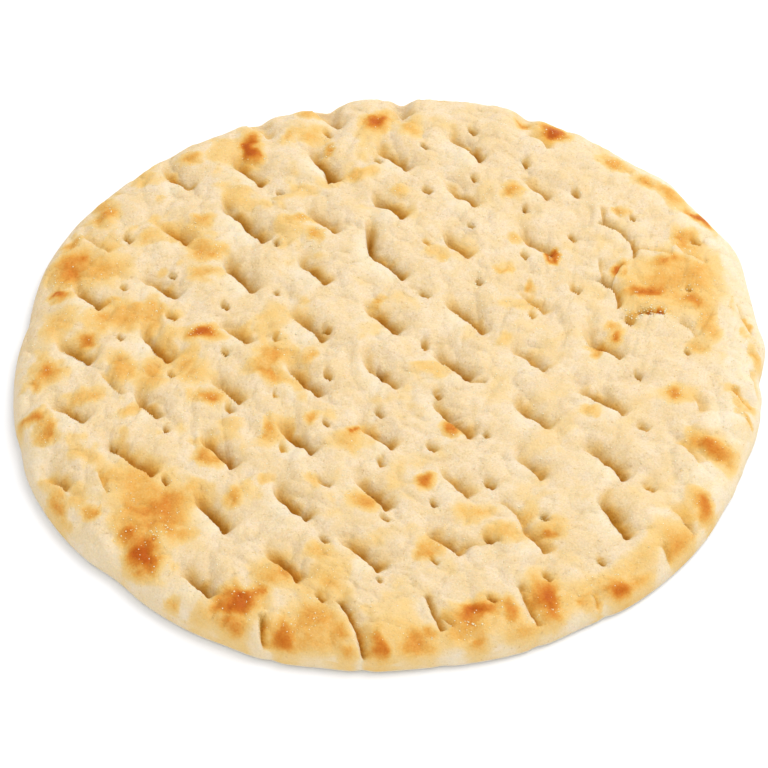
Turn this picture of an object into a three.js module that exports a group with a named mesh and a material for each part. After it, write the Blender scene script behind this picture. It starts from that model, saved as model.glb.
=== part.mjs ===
// Pita bread of the pocketless kind: one round flat loaf, docked before baking.
// Millimetres, +Z up. The loaf lies flat on z = 0 with its middle over the origin.
//
// A toothed plate left two skewed grids of marks in the top. The wells are thumb-sized:
// each has a steep wall on its left front side and a long slope up to the right rear.
// The pinholes are small and round and lie between the wells.
import * as THREE from "three";
import { ConvexHull } from "three/addons/math/ConvexHull.js";

// Outline: a circle plus slow waves, each [count round the edge, height, phase in degrees].
const EDGE_RADIUS = 89.4;
const EDGE_WAVES = [
  [2, 1.1, 74],
  [3, 0.44, 146],
  [4, 0.35, 183],
  [6, 0.4, 116],
  [8, 0.28, 213],
];
// Bulges and, below zero, dents and notches of the edge:
// [angle in degrees, height, half of the width along the edge].
const EDGE_BULGES = [
  [160, 0.4, 6],
  [150, 0.8, 12],
  [112.5, -0.9, 2.2],
  [109, 0.9, 6],
  [100.5, -1.4, 2.4],
  [95, 0.6, 4],
  [92, 1.5, 15],
  [88, -1.7, 2.2],
  [75, 1, 10],
  [66.5, -1, 2.2],
  [40.5, 1.4, 5.5],
  [22.5, 1.5, 8],
  [3.2, 1.2, 5],
  [-4, -0.7, 3],
  [-9, 0.4, 4],
  [-20, -0.8, 5],
  [-29, -0.7, 8],
  [-61, -1, 9],
  [-86, -0.4, 10],
  [-100, -0.6, 7],
  [-114, -0.4, 6],
  [-134, -1.4, 6],
  [-163, -0.6, 5],
  [172, -0.9, 9],
];

// Section: a flat crown, and a rim that rolls down to the widest line and under to the foot.
const CROWN_HEIGHT = 8.5;
const CROWN_DISH = 0.7; // the middle lies this much lower than the ring just inside the rim
const DISH_RADIUS = 53.6;
const RIM_WIDTH = 15; // how far in from the edge the rim starts to fall
const RIM_POWER = 2.3; // roundness of the rim's upper part
const WIDEST_HEIGHT = 1.2;
const FOOT_INSET = 1.5; // the flat foot starts this far inside the widest line

// Wells: a skewed grid. Lines run from the rear edge to the front edge, columns from left to right.
const WELL_MIDDLE = [-36.2, 58.3]; // column 0, line 0
const WELL_ACROSS = [18.2, 2.9];
const WELL_DOWN = [-1.0, -18.3];
const FIRST_COLUMN = -2;
const FIRST_LINE = -1;
// One digit for the depth of each well, line by line: 0 for no well, 9 for the full depth.
const WELL_DIGITS = [
  "003520000",
  "077977300",
  "379677500",
  "778796500",
  "786687400",
  "766767660",
  "568866663",
  "009775573",
  "009776573",
  "000885660",
];
// Wells that have a size of their own or lie off the grid:
// [column, line, half the length of the wall, offset in x, offset in y, turn].
const ODD_WELLS = [
  [-1, 1, 4, 1.2, -0.3, 53],
  [0, 1, 7.5, 0.1, 0.7, 41],
  [1, 1, 5, 1.2, -1.6, 43],
  [3, 1, 4.8, -0.9, 1.4, 50],
  [4, 1, 4.5, -0.5, 1.5, 45],
  [0, 2, 6, 0, 1.5, 44],
  [2, 2, 9.5, -2.9, 2, 45],
  [3, 2, 5, -2, 2.4, 50],
  [3, 3, 6.3, 1.5, -2, 42],
  [0, 4, 4.8, 0.9, 1.5, 43],
  [1, 4, 6, 0.3, 2, 40],
  [-2, 5, 3.2, 0.6, -1, 52],
  [-1, 5, 6.8, -1.3, 1.1, 52],
  [1, 5, 5.5, -0.1, 1.6, 48],
  [3, 5, 7, -0.6, 2.3, 42],
  [5, 5, 6.5, -1.8, 1.4, 55],
  [6, 5, 2.8, 2.8, -1, 18],
  [0, 6, 6, 0.3, 1.4, 37],
  [4, 6, 4.5, 0.2, 3.5, 42],
  [5, 6, 6, -0.2, 1.8, 41],
  [6, 6, 4.5, 0.4, 2.4, 40],
  [0, 7, 3.8, -0.6, 0.2, 48],
  [2, 7, 5.6, -1, 1.7, 46],
  [3, 7, 5, -0.7, 2.4, 49],
  [5, 7, 6.5, 1, 3.9, 30],
  [1, 8, 4.2, -1.3, 3.4, 28],
  [2, 8, 6, -0.7, 2.1, 32],
  [3, 8, 4.5, -2.2, 3.5, 18],
  [4, 8, 4.2, 0.2, 2.5, 28],
];
const WELL_DEPTH = 4.2;
const WELL_TURN = 48; // degrees from +X to the way the slope rises
const WELL_TURN_SPREAD = 7;
const WELL_HALF_SPAN = 5.2; // half the length of the wall
const WELL_SPAN_SPREAD = 0.12; // share of it
const WELL_WALL = 1.2; // width of the wall seen from above
const WELL_STRAIGHT = 0.8; // the wall is straight this far to the left of its middle
const WELL_BEND = 5; // radius with which it then turns up the left of the well
const WELL_BEND_SLOPE = 0.93; // how steep it gets there, against its straight part
const WELL_FADE_IN = [3.2, -6]; // where the wall begins on the left, beyond its half span
const WELL_FADE_OUT = [-1, 1]; // where it ends on the right, beyond its half span
const WELL_SLOPE = 2.5; // the slope has risen by half this far from the wall
const WELL_SLOPE_POWER = 2.2;
const WELL_SLOPE_END = [8, 15]; // it dies out between these distances
const WELL_FAN = 0.3; // how fast the slope narrows away from the wall
const WELL_LIP = 0.7; // height of the dough pushed up behind the wall
const WELL_LIP_WIDTH = 4.5;
const WELL_STRAY = 0.5; // how far a well may lie off its place
const WELL_REACH = 18; // a well changes nothing farther than this along or past its wall

// Pinholes: a second grid.
const PIN_MIDDLE = [9.3, 19.3];
const PIN_ACROSS = [12.25, 5.48];
const PIN_DOWN = [0.13, -16.46];
const PIN_REACH = 8; // columns and lines on each side of the middle one
const PIN_MARGIN = 9; // no pinhole lies nearer to the edge
const PIN_DEPTH = 2.1;
const PIN_DEPTH_SPREAD = 0.2; // share of it
const PIN_RADIUS = 1.4;
const PIN_DIP = 0.5; // depth of the wide dip round a pinhole
const PIN_DIP_RADIUS = 4;
const PIN_STRAY = 0.9;
const PIN_CLEAR_OF_WALL = 2; // no pinhole lies nearer to the wall of a well

// A blister near the right edge: a raised patch that falls off quickly at its rim.
const BLISTER_MIDDLE = [64, 23];
const BLISTER_RADIUS = 12.5;
const BLISTER_HEIGHT = 1.1;

const MARK_MARGIN = 3.5; // marks die out over this distance from the edge
const LEAST_THICKNESS = 2.6; // no mark goes deeper than this above the foot

// Mesh: corners are strewn over the top on a jittered grid, closer along the walls of the wells.
const GRID_STEP = 2.75;
const GRID_JITTER = 0.22; // share of the step
const EDGE_CORNERS = 208;
const RIM_STEPS = [0, 1.2, 3]; // rings at these distances inside the edge
const WALL_ROWS = [-2.2, -0.6, 0.6, 2, 3.8]; // rows at these distances past a wall
const WALL_STEP = 2; // spacing of the corners along a row
const WALL_JITTER = 0.15; // mm
const PIN_CORNERS = 5; // corners round each pinhole
const PIN_RING_RADIUS = 2.1;
const CLEARANCE = 1.35; // grid corners keep this far from the others
const RIM_CLEARANCE = 0.4; // and the corners of the rim, the walls and the pinholes this far
const WALL_CLEARANCE = 0.9;
const PIN_CLEARANCE = 1;
const RIM_GAP = 0.5; // free space inside the rings of the rim
const UNDER_STEPS = 2; // rings from the widest line to the foot
const FOOT_SHARES = [0.84, 0.6, 0.36, 0.15]; // rings on the flat foot, each with half the corners

const radians = THREE.MathUtils.degToRad;
const smooth = THREE.MathUtils.smoothstep;

// A fixed scatter between -1 and 1 for the numbers given.
function scatter(i, j, k) {
  const wave = Math.sin(i * 127.1 + j * 311.7 + k * 74.7) * 43758.5453;
  return 2 * (wave - Math.floor(wave)) - 1;
}

function edgeRadius(angle) {
  let radius = EDGE_RADIUS;
  for (const [count, height, phase] of EDGE_WAVES) {
    radius += height * Math.cos(count * angle - radians(phase));
  }
  for (const [place, height, halfWidth] of EDGE_BULGES) {
    const away = angle - radians(place);
    const turn = Math.atan2(Math.sin(away), Math.cos(away)); // less than half a turn
    radius += height * Math.exp(-(((turn * EDGE_RADIUS) / halfWidth) ** 2));
  }
  return radius;
}

// How far a point lies inside the edge.
function insideEdge(x, y) {
  return edgeRadius(Math.atan2(y, x)) - Math.hypot(x, y);
}

// A place in a skewed grid.
function gridPlace(middle, across, down, column, line) {
  return new THREE.Vector2(
    middle[0] + column * across[0] + line * down[0],
    middle[1] + column * across[1] + line * down[1],
  );
}

function makeWell(column, line, digit) {
  const place = gridPlace(WELL_MIDDLE, WELL_ACROSS, WELL_DOWN, column, line);
  let halfSpan = WELL_HALF_SPAN * (1 + WELL_SPAN_SPREAD * scatter(column, line, 3));
  let shift = [WELL_STRAY * scatter(column, line, 1), WELL_STRAY * scatter(column, line, 2)];
  let turn = WELL_TURN + WELL_TURN_SPREAD * scatter(column, line, 4);
  const odd = ODD_WELLS.find((entry) => entry[0] === column && entry[1] === line);
  if (odd) {
    halfSpan = odd[2];
    shift = [odd[3], odd[4]];
    turn = odd[5];
  }
  place.add(new THREE.Vector2(...shift));
  const rise = new THREE.Vector2(Math.cos(radians(turn)), Math.sin(radians(turn)));
  return { place, rise, halfSpan, depth: (WELL_DEPTH * digit) / 9 };
}

function makeWells() {
  const wells = [];
  WELL_DIGITS.forEach((digits, row) =>
    [...digits].forEach((digit, place) => {
      if (digit === "0") return;
      wells.push(makeWell(place + FIRST_COLUMN, row + FIRST_LINE, Number(digit)));
    }),
  );
  return wells;
}

// Pinholes fill their grid, except where a well's wall or the edge is in the way.
function makePins(wells) {
  const pins = [];
  for (let column = -PIN_REACH; column <= PIN_REACH; column++) {
    for (let line = -PIN_REACH; line <= PIN_REACH; line++) {
      const place = gridPlace(PIN_MIDDLE, PIN_ACROSS, PIN_DOWN, column, line);
      place.x += PIN_STRAY * scatter(column, line, 5);
      place.y += PIN_STRAY * scatter(column, line, 6);
      if (insideEdge(place.x, place.y) < PIN_MARGIN) continue;
      if (wells.some((well) => onWall(well, place, PIN_CLEAR_OF_WALL))) continue;
      const share = 1 - PIN_DEPTH_SPREAD * (1 - scatter(column, line, 7));
      pins.push({ place, depth: PIN_DEPTH * share });
    }
  }
  return pins;
}

// How far the wall has bent towards the rise, at a place along it.
function wallBow(along) {
  const left = Math.max(-along - WELL_STRAIGHT, 0);
  const curved = Math.min(left, WELL_BEND * WELL_BEND_SLOPE);
  return curved ** 2 / (2 * WELL_BEND) + WELL_BEND_SLOPE * (left - curved);
}

// Where a point lies in a well: along the wall, and past it up the slope.
function inWell(well, x, y) {
  const dx = x - well.place.x;
  const dy = y - well.place.y;
  const along = dx * well.rise.y - dy * well.rise.x;
  const past = dx * well.rise.x + dy * well.rise.y - wallBow(along);
  return { along, past };
}

function onWall(well, place, width) {
  const { along, past } = inWell(well, place.x, place.y);
  return Math.abs(along) < well.halfSpan && Math.abs(past) < width;
}

function wellHeight(well, x, y) {
  const { along, past } = inWell(well, x, y);
  if (Math.abs(along) > WELL_REACH || Math.abs(past) > WELL_REACH) return 0;
  const up = Math.max(past, 0);
  const [begin, begun] = WELL_FADE_IN.map((beyond) => -well.halfSpan - beyond);
  const [end, ended] = WELL_FADE_OUT.map((beyond) => well.halfSpan + beyond);
  const span =
    smooth(along + WELL_FAN * up, begin, begun) * (1 - smooth(along - WELL_FAN * up, end, ended));
  const wall = smooth(past, -WELL_WALL / 2, WELL_WALL / 2);
  const slope =
    (1 - smooth(up, ...WELL_SLOPE_END)) / (1 + (up / WELL_SLOPE) ** WELL_SLOPE_POWER);
  const lip = Math.exp(-((Math.min(past, 0) / WELL_LIP_WIDTH) ** 2)) * (1 - wall);
  return span * ((WELL_LIP * lip * well.depth) / WELL_DEPTH - well.depth * wall * slope);
}

function pinHeight(pin, x, y) {
  const away = Math.hypot(x - pin.place.x, y - pin.place.y);
  const hole = pin.depth * Math.exp(-((away / PIN_RADIUS) ** 2));
  const dip = PIN_DIP * Math.exp(-((away / PIN_DIP_RADIUS) ** 2));
  return -hole - dip;
}

function blisterHeight(x, y) {
  const away = Math.hypot(x - BLISTER_MIDDLE[0], y - BLISTER_MIDDLE[1]);
  return BLISTER_HEIGHT * Math.exp(-((away / BLISTER_RADIUS) ** 6));
}

// The smooth loaf before it is docked.
function crownHeight(x, y) {
  const inward = Math.min(Math.max(insideEdge(x, y) / RIM_WIDTH, 0), 1);
  const roll = (1 - (1 - inward) ** RIM_POWER) ** (1 / RIM_POWER);
  const dish = CROWN_DISH * Math.exp(-((Math.hypot(x, y) / DISH_RADIUS) ** 2));
  return WIDEST_HEIGHT + (CROWN_HEIGHT - dish - WIDEST_HEIGHT) * roll;
}

const WELLS = makeWells();
const PINS = makePins(WELLS);

function topHeight(x, y) {
  let marks = blisterHeight(x, y);
  for (const well of WELLS) marks += wellHeight(well, x, y);
  for (const pin of PINS) marks += pinHeight(pin, x, y);
  const crown = crownHeight(x, y);
  const height = crown + marks * smooth(insideEdge(x, y), 0, MARK_MARGIN);
  return Math.max(height, Math.min(crown, LEAST_THICKNESS));
}

// A closed ring of places at a distance inside the edge.
function edgeRing(inset, count) {
  const places = [];
  for (let k = 0; k < count; k++) {
    const angle = (2 * Math.PI * k) / count;
    const radius = edgeRadius(angle) - inset;
    places.push(new THREE.Vector2(radius * Math.cos(angle), radius * Math.sin(angle)));
  }
  return places;
}

// Places in rows along the wall of a well.
function wallPlaces(well) {
  const places = [];
  const steps = Math.ceil((2 * well.halfSpan) / WALL_STEP);
  for (const past of WALL_ROWS) {
    for (let k = 0; k <= steps; k++) {
      const jitter = WALL_JITTER * scatter(k, past, well.depth);
      const along = well.halfSpan * ((2 * k) / steps - 1) + jitter;
      const place = well.place.clone().addScaledVector(well.rise, past + wallBow(along));
      place.x += along * well.rise.y;
      place.y -= along * well.rise.x;
      places.push(place);
    }
  }
  return places;
}

// A pinhole's middle and a ring round it.
function pinPlaces(pin) {
  const places = [pin.place.clone()];
  for (let k = 0; k < PIN_CORNERS; k++) {
    const angle = (2 * Math.PI * (k + 0.5 * scatter(pin.place.x, pin.place.y, 8))) / PIN_CORNERS;
    const out = new THREE.Vector2(Math.cos(angle), Math.sin(angle));
    places.push(pin.place.clone().addScaledVector(out, PIN_RING_RADIUS));
  }
  return places;
}

// A store of places that keeps new ones clear of those already in it.
class Strewn {
  constructor() {
    this.places = [];
    this.cells = new Map();
  }

  cell(place) {
    return [Math.floor(place.x / GRID_STEP), Math.floor(place.y / GRID_STEP)];
  }

  add(place, clearance) {
    const [column, line] = this.cell(place);
    for (let i = column - 1; i <= column + 1; i++) {
      for (let j = line - 1; j <= line + 1; j++) {
        const near = this.cells.get(`${i},${j}`) ?? [];
        if (near.some((other) => other.distanceTo(place) < clearance)) return;
      }
    }
    const key = `${column},${line}`;
    if (!this.cells.has(key)) this.cells.set(key, []);
    this.cells.get(key).push(place);
    this.places.push(place);
  }
}

// All places on the top: the edge rings first, so that the widest line keeps numbers 0 and up.
function topPlaces() {
  const strewn = new Strewn();
  for (const inset of RIM_STEPS) {
    for (const place of edgeRing(inset, EDGE_CORNERS)) strewn.add(place, RIM_CLEARANCE);
  }
  const inner = RIM_STEPS[RIM_STEPS.length - 1] + RIM_GAP;
  const addInside = (place, clearance) => {
    if (insideEdge(place.x, place.y) > inner) strewn.add(place, clearance);
  };
  for (const well of WELLS) wallPlaces(well).forEach((place) => addInside(place, WALL_CLEARANCE));
  for (const pin of PINS) pinPlaces(pin).forEach((place) => addInside(place, PIN_CLEARANCE));
  const reach = Math.ceil(EDGE_RADIUS / GRID_STEP) + 2;
  for (let line = -2 * reach; line <= 2 * reach; line++) {
    for (let column = -reach; column <= reach; column++) {
      const x = (column + 0.5 * (line & 1) + GRID_JITTER * scatter(column, line, 9)) * GRID_STEP;
      const y = (line * Math.sqrt(0.75) + GRID_JITTER * scatter(column, line, 10)) * GRID_STEP;
      addInside(new THREE.Vector2(x, y), CLEARANCE);
    }
  }
  return strewn.places;
}

// Delaunay triangles of the places: the lower side of the hull of the places lifted to a bowl.
function triangulate(places) {
  const lifted = places.map((place, number) => {
    const point = new THREE.Vector3(place.x, place.y, place.lengthSq() / EDGE_RADIUS);
    point.number = number;
    return point;
  });
  const hull = new ConvexHull().setFromPoints(lifted);
  const triangles = [];
  for (const face of hull.faces) {
    if (face.normal.z >= 0) continue;
    const corners = [];
    let side = face.edge;
    do {
      corners.push(side.head().point.number);
      side = side.next;
    } while (side !== face.edge);
    corners.reverse(); // the bowl's lower side looks down, and the bread's top looks up
    if (corners.some((number) => number >= EDGE_CORNERS)) triangles.push(corners);
  }
  return triangles;
}

// Rings that turn under from the widest line to the foot, and rings on the flat foot.
function underRings() {
  const rings = [];
  for (let step = 1; step <= UNDER_STEPS; step++) {
    const angle = ((Math.PI / 2) * step) / UNDER_STEPS;
    const height = WIDEST_HEIGHT * (1 - Math.sin(angle));
    const inset = FOOT_INSET * (1 - Math.cos(angle));
    rings.push(edgeRing(inset, EDGE_CORNERS).map(({ x, y }) => [x, y, height]));
  }
  FOOT_SHARES.forEach((share, step) => {
    const count = Math.round(EDGE_CORNERS / 2 ** (step + 1));
    rings.push(edgeRing((1 - share) * EDGE_RADIUS, count).map(({ x, y }) => [x, y, 0]));
  });
  rings.push([[0, 0, 0]]);
  return rings;
}

// Triangles between two rings of corners with any counts. The rings start at numbers a0 and b0.
function stitch(indices, a0, countA, b0, countB) {
  let a = 0;
  let b = 0;
  while (a < countA || b < countB) {
    const cornerA = a0 + (a % countA);
    const cornerB = b0 + (b % countB);
    const stepA = b === countB || (a < countA && (a + 1) / countA <= (b + 1) / countB);
    if (stepA) {
      a++;
      indices.push(cornerA, cornerB, a0 + (a % countA));
    } else {
      b++;
      if (countB > 1) indices.push(cornerA, cornerB, b0 + (b % countB));
    }
  }
}

function breadGeometry() {
  const places = topPlaces();
  const positions = places.flatMap(({ x, y }, number) => [
    x,
    y,
    number < EDGE_CORNERS ? WIDEST_HEIGHT : topHeight(x, y),
  ]);
  const indices = triangulate(places).flat();

  let outer = 0;
  let outerCount = EDGE_CORNERS;
  for (const ring of underRings()) {
    const inner = positions.length / 3;
    positions.push(...ring.flat());
    stitch(indices, outer, outerCount, inner, ring.length);
    outer = inner;
    outerCount = ring.length;
  }

  const geometry = new THREE.BufferGeometry();
  geometry.setAttribute("position", new THREE.Float32BufferAttribute(positions, 3));
  geometry.setIndex(indices);
  geometry.computeVertexNormals();
  return geometry;
}

const crust = new THREE.MeshStandardMaterial({ color: 0xe8cf9c, roughness: 0.85, metalness: 0 });

const bread = new THREE.Mesh(breadGeometry(), crust);
bread.name = "bread";

const pita = new THREE.Group();
pita.add(bread);

export default pita;
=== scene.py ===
"""Pita bread: a finely modelled loaf for the frame's solid, its grains, a floor, lights and a camera.

The loaf repeats the solid's outline, section, wells and pinholes, mostly from the same sizes, and
adds what a fine mesh can carry: leaning lips, folds, creases, pleats and lumps of the crust.
Sizes are in millimetres and angles in degrees until a mesh is made. Blender's own are in metres.
"""

import math
from functools import cached_property
from itertools import combinations

import bpy
import numpy as np
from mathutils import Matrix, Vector


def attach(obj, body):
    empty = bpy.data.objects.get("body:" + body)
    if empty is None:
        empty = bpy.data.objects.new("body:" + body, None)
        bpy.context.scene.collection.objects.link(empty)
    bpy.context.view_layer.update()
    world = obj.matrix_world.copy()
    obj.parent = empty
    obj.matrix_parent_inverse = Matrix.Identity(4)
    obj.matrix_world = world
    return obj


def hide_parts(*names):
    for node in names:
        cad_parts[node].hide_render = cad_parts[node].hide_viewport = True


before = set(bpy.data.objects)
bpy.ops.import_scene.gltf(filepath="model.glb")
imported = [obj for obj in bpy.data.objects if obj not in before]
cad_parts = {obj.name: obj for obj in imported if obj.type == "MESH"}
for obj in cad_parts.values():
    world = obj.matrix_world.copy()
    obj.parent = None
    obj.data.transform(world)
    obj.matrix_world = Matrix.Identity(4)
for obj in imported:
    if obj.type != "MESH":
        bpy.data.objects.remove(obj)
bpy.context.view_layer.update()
MM = 0.001

# ------------ outline, section and marks
# Most of these are the solid's own. The pinholes, the wells' depth and slope, the blister's place,
# some notches of the edge and the creases have been refined since, or are too fine for the solid.

EDGE_RADIUS = 89.4
# Slow waves of the outline: count round the edge, height, phase in degrees.
EDGE_WAVES = [
    (2, 1.1, 74), (3, 0.44, 146), (4, 0.35, 183), (6, 0.4, 116), (8, 0.28, 213),
]

# Notches in the edge, where it is pleated: (angle in degrees, depth, half width).
EDGE_NOTCHES = [
    (112.5, 0.9, 2.2), (100.5, 1.4, 2.4), (88, 1.7, 2.2), (66.5, 1.0, 2.2), (-107, 0.4, 1.7),
    (-94, 0.5, 1.7), (-82.5, 0.3, 1.8), (-68.5, 0.4, 1.7), (-57, 0.4, 1.7), (-24, 0.4, 2.4),
    (-9, 0.4, 2.2), (172, 0.3, 2.6),
]
# Gentle bulges of the edge: (angle in degrees, height, half width).
EDGE_BULGES = [
    (160, 0.4, 6), (150, 0.8, 12), (109, 0.9, 6), (95, 0.6, 4), (92, 1.5, 15), (75, 1, 10),
    (40.5, 1.4, 5.5), (22.5, 1.5, 8), (3.2, 1.2, 5), (-4, -0.7, 3), (-9, 0.4, 4), (-20, -0.8, 5),
    (-29, -0.7, 8), (-61, -1, 9), (-86, -0.4, 10), (-100, -0.6, 7), (-114, -0.4, 6), (-134, -1, 7),
    (-163, -0.6, 5), (172, -0.9, 9),
]

CROWN_HEIGHT = 8.5
CROWN_DISH = 0.7  # the middle lies this much lower than the ring just inside the rim
DISH_RADIUS = 0.6 * EDGE_RADIUS
RIM_WIDTH = 15  # how far in from the edge the rim starts to fall
RIM_POWER = 2.3  # roundness of the rim's upper part
WIDEST_HEIGHT = 1.2
FOOT_INSET = 1.5  # the flat foot starts this far inside the widest line

WELL_MIDDLE = (-36.2, 58.3)  # column 0, line 0
WELL_ACROSS = (18.2, 2.9)
WELL_DOWN = (-1.0, -18.3)
FIRST_COLUMN = -2
FIRST_LINE = -1
DEEPEST_DIGIT = 9
# One digit for the depth of each well, from the rear line to the front one; 0 for none.
WELL_DIGITS = [
    "003520000",
    "077977300",
    "379677500",
    "778796500",
    "786687400",
    "766767660",
    "568866663",
    "009775573",
    "009776573",
]
# Wells that lie off the grid or have a size of their own: (column, line): (half the length of
# the wall, offset in x, offset in y, turn in degrees, length of the straight wall left of its
# middle).
ODD_WELLS = {
    (0, 0): (5.5, -0.8, -0.2, 45, 0.8), (1, 0): (6, -0.3, -0.3, 37, 1.4),
    (2, 0): (5, -0.8, -0.5, 48, 1.2), (3, 0): (5.5, -0.5, 0.5, 46, 1.7),
    (4, 0): (4, 0, 0.5, 41, 1.5), (-1, 1): (4, 1.2, -0.3, 53, 2.8),
    (0, 1): (7.5, 0.1, 0.7, 41, 5.5), (1, 1): (5, 1.2, -1.6, 43, 3.2),
    (2, 1): (5.2, -1, 0.3, 48, 1), (3, 1): (4.8, -0.9, 1.4, 50, 1), (4, 1): (4.5, -0.5, 1.5, 45, 2),
    (-1, 2): (4.8, -0.2, 0.1, 55, 1.8), (0, 2): (6, 0, 1.5, 44, 0.8),
    (1, 2): (5.5, -0.2, 0.2, 43, 0.6), (2, 2): (9.5, -2.9, 2, 45, -1), (3, 2): (5, -2, 2.4, 50, -1),
    (-2, 3): (4.8, -0.2, 0, 55, 2), (0, 3): (4.6, 1.1, 1.1, 45, 3), (1, 3): (5.5, 0.2, 0.5, 45, 3),
    (2, 3): (5.2, -0.5, 0, 45, 2), (3, 3): (6.3, 1.5, -2, 42, 5), (4, 3): (4.5, -0.3, -0.3, 42, 4),
    (-2, 4): (4.6, 0.9, -0.6, 55, 2.5), (0, 4): (4.8, 0.9, 1.5, 43, 3.3),
    (1, 4): (6, 0.3, 2, 40, 2.6), (3, 4): (5.5, -1, 0.6, 46, 1.9), (4, 4): (4.8, -0.9, -0.7, 45, 3),
    (5, 4): (5, -1.3, -0.2, 53, 1.6), (-2, 5): (3.2, 0.6, -1, 52, 1.5),
    (-1, 5): (6.8, -1.3, 1.1, 52, 4.5), (0, 5): (5.5, 0, 0.8, 43, 1.5),
    (1, 5): (5.5, -0.1, 1.6, 48, 0.8), (3, 5): (7, -0.6, 2.3, 42, 1.9),
    (4, 5): (5.5, -0.2, 0.6, 46, 1.3), (5, 5): (6.5, -1.8, 1.4, 55, 2.7),
    (6, 5): (2.8, 2.8, -1, 18, 3), (0, 6): (6, 0.3, 1.4, 37, 2.6), (1, 6): (6, -0.3, 0.5, 47, 0.8),
    (2, 6): (5.5, 0.4, 1.1, 43, 2.4), (3, 6): (4.8, 1, 1.4, 42, 1.2),
    (4, 6): (4.5, 0.2, 3.5, 42, 1.2), (5, 6): (6, -0.2, 1.8, 41, 5),
    (6, 6): (4.5, 0.4, 2.4, 40, 3.5), (0, 7): (4.2, -0.9, -0.2, 44, 3),
    (1, 7): (5.2, -0.3, 1.6, 44, 2.5), (2, 7): (5.6, -1, 1.7, 46, 3),
    (3, 7): (5, -0.7, 2.4, 49, 1.5), (4, 7): (4.5, 1.6, 0.5, 31, 3), (5, 7): (6.5, 1, 3.9, 30, 1.6),
    (6, 7): (6, 0.5, 0, 40, 6),
}
# Creases: round the puffs of the right side, the slots of the front and the right rim's pleats.
# x, y, turn, half of the span, depth, radius of the wall's bend, below 0 where it bends back.
CREASES = [
    (57.0, 36.2, 33, 7.5, 1.8, -10), (53.4, 18.0, 30, 5, 2.0, -7), (50.6, 24.5, 5, 4, 0.9, 30),
    (63.5, 30.6, 84, 5, 0.6, -18), (72.2, 29.3, 50, 4.5, 0.5, 9), (62, 9.4, 84, 3.2, 2.0, 30),
    (54.6, 22.5, 158, 4, 0.8, -16), (71, 6.4, 42, 3, 0.9, -8), (19.2, -10.4, 75, 3, 1.2, 20),
    (51.9, 43.6, 5, 2.6, 1.2, 20), (-65.8, -12.0, 43, 4, 1.0, 20), (-66.2, -41.5, 20, 3.5, 0.8, 20),
    (28.1, -50.2, 30, 5, 1.1, -9), (20, -59.3, 98, 4.5, 0.7, 30), (-28.4, -84.2, 19, 5.5, 2.4, 10),
    (-8.6, -81.2, 24, 7, 2.6, -40), (8.7, -77.6, 22, 4.6, 2.2, 30), (12, -79.6, 40, 2, 0.8, 20),
    (29.6, -75.2, 24, 5, 1.6, 30), (46.3, -75.2, 28, 4.5, 1.1, 30), (62, -61, 30, 3, 0.9, 20),
    (85, 8, 20, 8, 0.7, 60), (85.3, -9.2, 15, 4, 0.9, 40), (81.5, -15, 40, 3, 0.7, 20),
    (83, -21.5, 28, 3, 0.6, 20),
]
CREASE_SIZE = 0.5  # a crease is a well on this scale
CREASE_FADE_IN = (0.5, -1.5)  # as WELL_FADE_IN below
CREASE_SEEDS = 60

WELL_DEPTH = 3.8
WELL_TURN = 48  # from +X to the way the slope rises
WELL_TURN_SPREAD = 7
WELL_HALF_SPAN = 5.2  # half the length of the wall
WELL_SPAN_SPREAD = 0.12  # share of it
WELL_BEND = 5  # radius with which the wall turns up the left of a well
WELL_BEND_SLOPE = 0.93  # how steep it gets there, against its straight part
WELL_FADE_IN = (3.2, -6)  # where the wall begins on the left, beyond its half span
WELL_FADE_OUT = (-1, 1)  # where it ends on the right, beyond its half span
WELL_SLOPE = 2.5  # the slope has risen by half this far from the wall
WELL_SLOPE_POWER = 2.4
WELL_SLOPE_END = (8, 15)  # it dies out between these distances
WELL_FAN = 0.3  # how fast the slope widens away from the wall
WELL_LIP = 0.75  # height of the dough pushed up behind the wall
WELL_LIP_WIDTH = 4.5
WELL_STRAY = 0.5  # how far a well may lie off its place
WELL_REACH = 20  # a well changes nothing farther away
LEAST_REACH_SHARE = 0.5  # of that, for the smallest marks
WELL_SEEDS = 100

PIN_MIDDLE = (8.6, 18.7)
PIN_ACROSS = (12.25, 5.48)
PIN_DOWN = (0.13, -16.46)
PIN_FIRST_COLUMN = -6
PIN_FIRST_LINE = -4
# One digit for the depth of each pinhole, 0 for none.
PIN_DIGITS = [
    "000050000000",
    "600575660000",
    "470600655000",
    "567500255500",
    "054260565540",
    "565257503505",
    "060246500053",
    "000065650065",
    "000055660040",
    "000065466050",
    "000000065400",
]
# Pinholes off their grid: (column, line): (offset in x, offset in y).
ODD_PINS = {
    (-5, -2): (-0.4, -1.2), (-5, -1): (-0.3, 1.2), (1, -1): (-1.2, -0.6), (2, -1): (-0.6, 0.9),
    (-4, 0): (0.1, 1.4), (-3, 0): (0.4, 1.2), (-2, 0): (0.3, -1.7), (0, 0): (-0.8, -1.2),
    (1, 0): (0.3, -2.4), (2, 0): (-0.8, 0.3), (3, 0): (-1.2, 0.9), (4, 0): (1.6, 2.2),
    (-4, 1): (1.5, 0.7), (-1, 1): (0, -3.8), (0, 1): (-1.5, -0.2), (2, 1): (0, -2.7),
    (3, 1): (-1.8, -0.4), (5, 1): (3.9, 5.0), (-5, 2): (0, 1.6), (-3, 2): (2.1, 0),
    (-2, 2): (-0.2, 1.7), (0, 2): (0.9, 0.3), (4, 2): (-1.2, 0.6), (5, 2): (0.9, 5.1),
    (-1, 3): (0, 1.2), (1, 3): (0.5, -1.6), (5, 3): (-0.3, 1.8), (-1, 4): (1.2, 0.6),
    (-2, 5): (-1.3, 0.8), (2, 5): (0.2, 1.2), (4, 5): (-0.3, -1.3), (2, 6): (0.2, 1.2),
}
PIN_DEPTH = 2.5
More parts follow.
